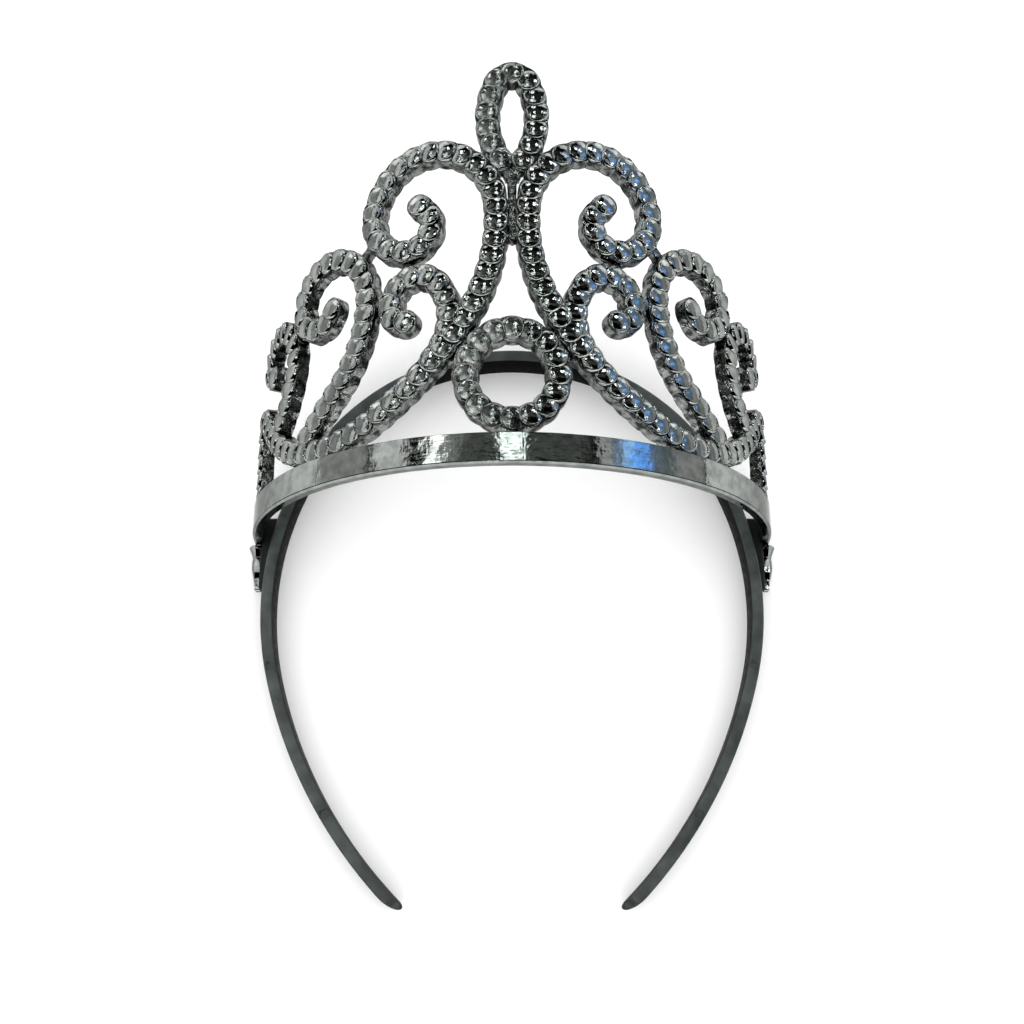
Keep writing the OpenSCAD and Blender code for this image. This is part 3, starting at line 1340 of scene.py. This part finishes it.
    def cut_marks(self, strip: bpy.types.Object) -> None:
        """Presses the ejector marks into the front edge.

        Args:
            strip: The strip's piece.
        """
        half = self.width / 2
        sketch = bmesh.new()
        for index, share in self.marks:
            arcs = [Arc(arc.radius * half, arc.sweep) for arc in self.arch[:index]]
            last = self.arch[index]
            arcs.append(Arc(last.radius * half, last.sweep * share))
            spot = trace((0, self.wall / 2), 0, tuple(arcs), self.step)[-1]
            turn = math.radians(spot.heading)
            for side in Side:
                x = side.value * (spot.x + math.sin(turn) * self.wall / 2)
                y = spot.y - math.cos(turn) * self.wall / 2
                place = Matrix.Translation(Vector((x, y, self.depth)) * MM)
                bmesh.ops.create_cone(
                    sketch, cap_ends=True, segments=self.mark_sides, radius1=self.mark_radius * MM,
                    radius2=self.mark_radius * MM, depth=2 * self.mark_depth * MM, matrix=place,
                )
        mesh = bpy.data.meshes.new("ejector_pins")
        sketch.to_mesh(mesh)
        sketch.free()
        pins = bpy.data.objects.new("ejector_pins", mesh)
        bpy.context.scene.collection.objects.link(pins)
        cut = strip.modifiers.new("marks", "BOOLEAN")
        cut.object = pins
        cut.operation = "DIFFERENCE"
        cut.solver = "EXACT"
        bpy.context.view_layer.update()
        graph = bpy.context.evaluated_depsgraph_get()
        shaped = bpy.data.meshes.new_from_object(strip.evaluated_get(graph))
        strip.modifiers.clear()
        strip.data = shaped
        bpy.data.objects.remove(pins)

    def build(self, material: bpy.types.Material, shaded: bpy.types.Material) -> list[bpy.types.Object]:
        """Makes the strip and its pads.

        Args:
            material: The black plastic.
            shaded: The plastic of the pads, darker than the strip's as painted shade.

        Returns:
            The pieces.
        """
        right = self.half_strip()
        left = [[Vector((-p.x, p.y, p.z)) for p in ring] for ring in reversed(right[1:])]
        strip = Moulding("headband_strip", crease=30)
        strip.tube(left + right)
        made = [strip.piece(material, Slot.PLASTIC, Node.HEADBAND)]
        self.cut_marks(made[0])
        for side in Side:
            pad = Moulding(f"headband_pad_{side.word}", crease=30)
            pad.tube(self.pad_rings(side))
            made.append(pad.piece(shaded, Slot.PLASTIC, Node.HEADBAND))
        return made


@dataclass(frozen=True)
class Crown:
    """The silvered moulding: band, openwork and end tabs."""

    curve: CrownCurve = CrownCurve()
    rib: Rib = Rib()
    bead: Bead = Bead()
    seed: int = 7

    def build(self) -> list[bpy.types.Object]:
        """Makes all the pieces of the crown.

        Returns:
            The pieces.
        """
        smooth = BandPlating(
            "band_plating", roughness=(0.04, 0.15), ripple=2.6, ripple_depth=0.08
        ).material()
        bead_skin = Plating("bead_plating").material()
        clouded_skin = CloudedPlating("clouded_bead_plating").material()
        # Uneven plating with painted dark reflection: the ribs' and webs' plating is much darker than the
        # beads', in random patches, and stands in for dark surroundings reflected in the rib sides.
        rib_skin_painted_dark_reflection = Plating(
            "rib_plating_painted_dark_reflection", bright=(0.24, 0.25, 0.24), dull=(0.03, 0.033, 0.031), patch=1.7,
            roughness=(0.05, 0.16), ripple=1.1, ripple_depth=0.24, grain_depth=0.05,
        ).material()
        made = [SmoothBand(self.curve).build().piece(smooth, Slot.PLATING, Node.CROWN)]
        for side in Side:
            made.append(EndTab(self.curve).build(side).piece(bead_skin, Slot.PLATING, Node.CROWN))
        dice = random.Random(self.seed)
        jobs = [(plan, side) for plan in SIDE_CHAINS for side in Side]
        jobs += [(plan, Side.RIGHT) for plan in MIDDLE_CHAINS]
        for plan, side in jobs:
            chain = BeadChain(plan, self.curve, self.rib, self.bead)
            end = "" if plan in MIDDLE_CHAINS else f"_{side.word}"
            rib = chain.build_rib(f"{plan.name}_rib{end}", side)
            beads = chain.build_beads(f"{plan.name}_beads{end}", side, dice)
            made.append(rib.piece(rib_skin_painted_dark_reflection, Slot.PLATING, Node.CROWN))
            skin = clouded_skin if plan in MIDDLE_CHAINS else bead_skin
            made.append(beads.piece(skin, Slot.PLATING, Node.CROWN))
        made.append(Webs(self.curve, self.rib).build().piece(rib_skin_painted_dark_reflection, Slot.PLATING, Node.CROWN))
        return made


# The studio


@dataclass(frozen=True)
class Softbox:
    """A rectangular light that faces the part, placed and sized by the angles at which it is seen."""

    name: str
    azimuth: float
    height: float
    across: float
    tall: float
    brightness: float
    colour: tuple[float, float, float] = (1, 1, 1)
    distance: float = 1.6

    def build(self, target: Vector) -> None:
        """Adds the light.

        Args:
            target: The point that it faces.
        """
        lamp = bpy.data.lights.new(self.name, "AREA")
        lamp.shape = "RECTANGLE"
        lamp.size = 2 * self.distance * math.tan(math.radians(self.across) / 2)
        lamp.size_y = 2 * self.distance * math.tan(math.radians(self.tall) / 2)
        lamp.energy = self.brightness * math.pi * lamp.size * lamp.size_y
        lamp.color = self.colour
        made = bpy.data.objects.new(self.name, lamp)
        turn, rise = math.radians(self.azimuth), math.radians(self.height)
        away = Vector((math.cos(rise) * math.cos(turn), math.cos(rise) * math.sin(turn), math.sin(rise)))
        made.location = target + away * self.distance
        made.rotation_euler = (-away).to_track_quat("-Z", "Y").to_euler()
        made.visible_camera = False
        made.visible_diffuse = False
        bpy.context.scene.collection.objects.link(made)


@dataclass(frozen=True)
class Studio:
    """A plain pale floor, soft lights and the camera."""

    camera_place: tuple[float, float, float] = (0.0, -142.05, 328.3)
    camera_aim: tuple[float, float, float] = (0.0, 0.3007, -0.9537)
    lens: float = 49.0
    sensor: float = 36.0
    floor_size: float = 3.0
    ambient: float = 1.6
    target: tuple[float, float, float] = (0.0, -0.04, 0.03)
    softboxes: tuple[Softbox, ...] = (
        Softbox("ceiling", 90, 52, 110, 18, 0.04, (0.93, 1, 0.95), 2.2),
        Softbox("ceiling_strip", 90, 69, 60, 6, 0.2, (0.93, 1, 0.95), 2.1),
        Softbox("overhead", 270, 80, 100, 20, 0.05, (0.93, 1, 0.95), 2.4),
        Softbox("zenith", 95, 84, 6, 4, 7),
        Softbox("lamp", 90, 69.5, 9, 6, 4.6, (0.93, 1, 0.99)),
        Softbox("left_zenith", 168, 68, 22, 16, 0.8, (0.96, 1, 0.98), 2.0),
        Softbox("front_glow", 222, 74, 34, 20, 1.5, (0.97, 1, 0.98), 2.2),
        Softbox("back_wall", 90, 15, 100, 28, 2.0),
        Softbox("front_low", 270, 9, 120, 17, 2.7),
        Softbox("left_low", 165, 12, 80, 26, 0.66),
        Softbox("left_window", 160, 35, 60, 14, 1.5),
        Softbox("left_haze", 140, 57, 40, 8, 0.3, (0.95, 1, 0.97), 2.0),
        Softbox("left_lamp", 145, 52, 14, 5, 4.6),
        Softbox("right_low", 15, 9, 80, 16, 0.62),
        Softbox("right_dim", 15, 22, 80, 10, 0.4, (0.75, 0.9, 1)),
        Softbox("blue_panel", 24, 31, 5, 9, 2.5, (0.01, 0.27, 1.0), 1.5),
        Softbox("blue_edge", 24, 38, 6, 6, 1.7, (0.28, 0.55, 1.0), 1.5),
        Softbox("blue_haze", 24, 35, 54, 16, 0.72, (0.48, 0.68, 1.0), 1.7),
        Softbox("right_window", 28, 46, 40, 5, 0.9),
        Softbox("glint_right", 58, 46, 3.4, 3.4, 24),
        Softbox("glint_left", 120, 42, 3.4, 3.4, 24),
        Softbox("glint_back", 90, 38, 6, 3, 14),
        Softbox("glint_front", 250, 79, 3.4, 3.4, 18),
        Softbox("glint_front_right", 310, 66, 5, 5, 8),
        Softbox("glint_side", 185, 60, 5, 5, 10),
        Softbox("glint_middle", 88, 57, 2.6, 2.6, 26),
        Softbox("glint_blue", 44, 40, 3, 3, 24, (0.85, 0.93, 1)),
        Softbox("glint_blue_low", 10, 42, 3, 3, 20, (0.85, 0.93, 1)),
    )

    def build_camera(self) -> None:
        """Adds the camera at the photograph's viewing angle."""
        data = bpy.data.cameras.new("camera")
        data.lens = self.lens
        data.sensor_width = self.sensor
        data.clip_start = 0.01
        made = bpy.data.objects.new("camera", data)
        made.location = Vector(self.camera_place) * MM
        made.rotation_euler = Vector(self.camera_aim).to_track_quat("-Z", "Y").to_euler()
        bpy.context.scene.collection.objects.link(made)
        bpy.context.scene.camera = made

    def build_floor(self) -> None:
        """Adds the floor."""
        half = self.floor_size / 2
        mesh = bpy.data.meshes.new("floor")
        corners = [(-half, -half, 0), (half, -half, 0), (half, half, 0), (-half, half, 0)]
        mesh.from_pydata(corners, [], [(0, 1, 2, 3)])
        mesh.materials.append(PaleFloor("floor").material())
        floor = bpy.data.objects.new("floor", mesh)
        bpy.context.scene.collection.objects.link(floor)

    def build_world(self) -> None:
        """Adds an even pale surrounding that lights the part and stays out of its reflections."""
        world = bpy.data.worlds.new("surroundings")
        world.use_nodes = True
        sky = world.node_tree.nodes["Background"]
        sky.inputs["Color"].default_value = (1, 1, 1, 1)
        sky.inputs["Strength"].default_value = self.ambient
        world.cycles_visibility.glossy = False
        bpy.context.scene.world = world

    def build(self) -> None:
        """Adds everything round the part."""
        self.build_camera()
        self.build_floor()
        self.build_world()
        for box in self.softboxes:
            box.build(Vector(self.target))
        bpy.context.scene.view_settings.view_transform = "Standard"


def main() -> None:
    """Builds the headband, the crown and the studio in order."""
    logging.basicConfig(level=logging.INFO, format="%(message)s")
    plastic = BlackPlastic("black_plastic").material()
    # Painted shade: the pads' plastic is darker than the strip's, for the shade between the leg and the
    # band.
    pad_plastic_painted_shade = BlackPlastic(
        "pad_plastic_painted_shade", deep=(0.004, 0.005, 0.005), pale=(0.009, 0.011, 0.01), shine=(0.01, 0.2)
    ).material()
    pieces = Headband().build(plastic, pad_plastic_painted_shade)
    pieces += Crown().build()
    Studio().build()
    LOG.info("%d pieces", len(pieces))


if __name__ == "__main__":
    main()
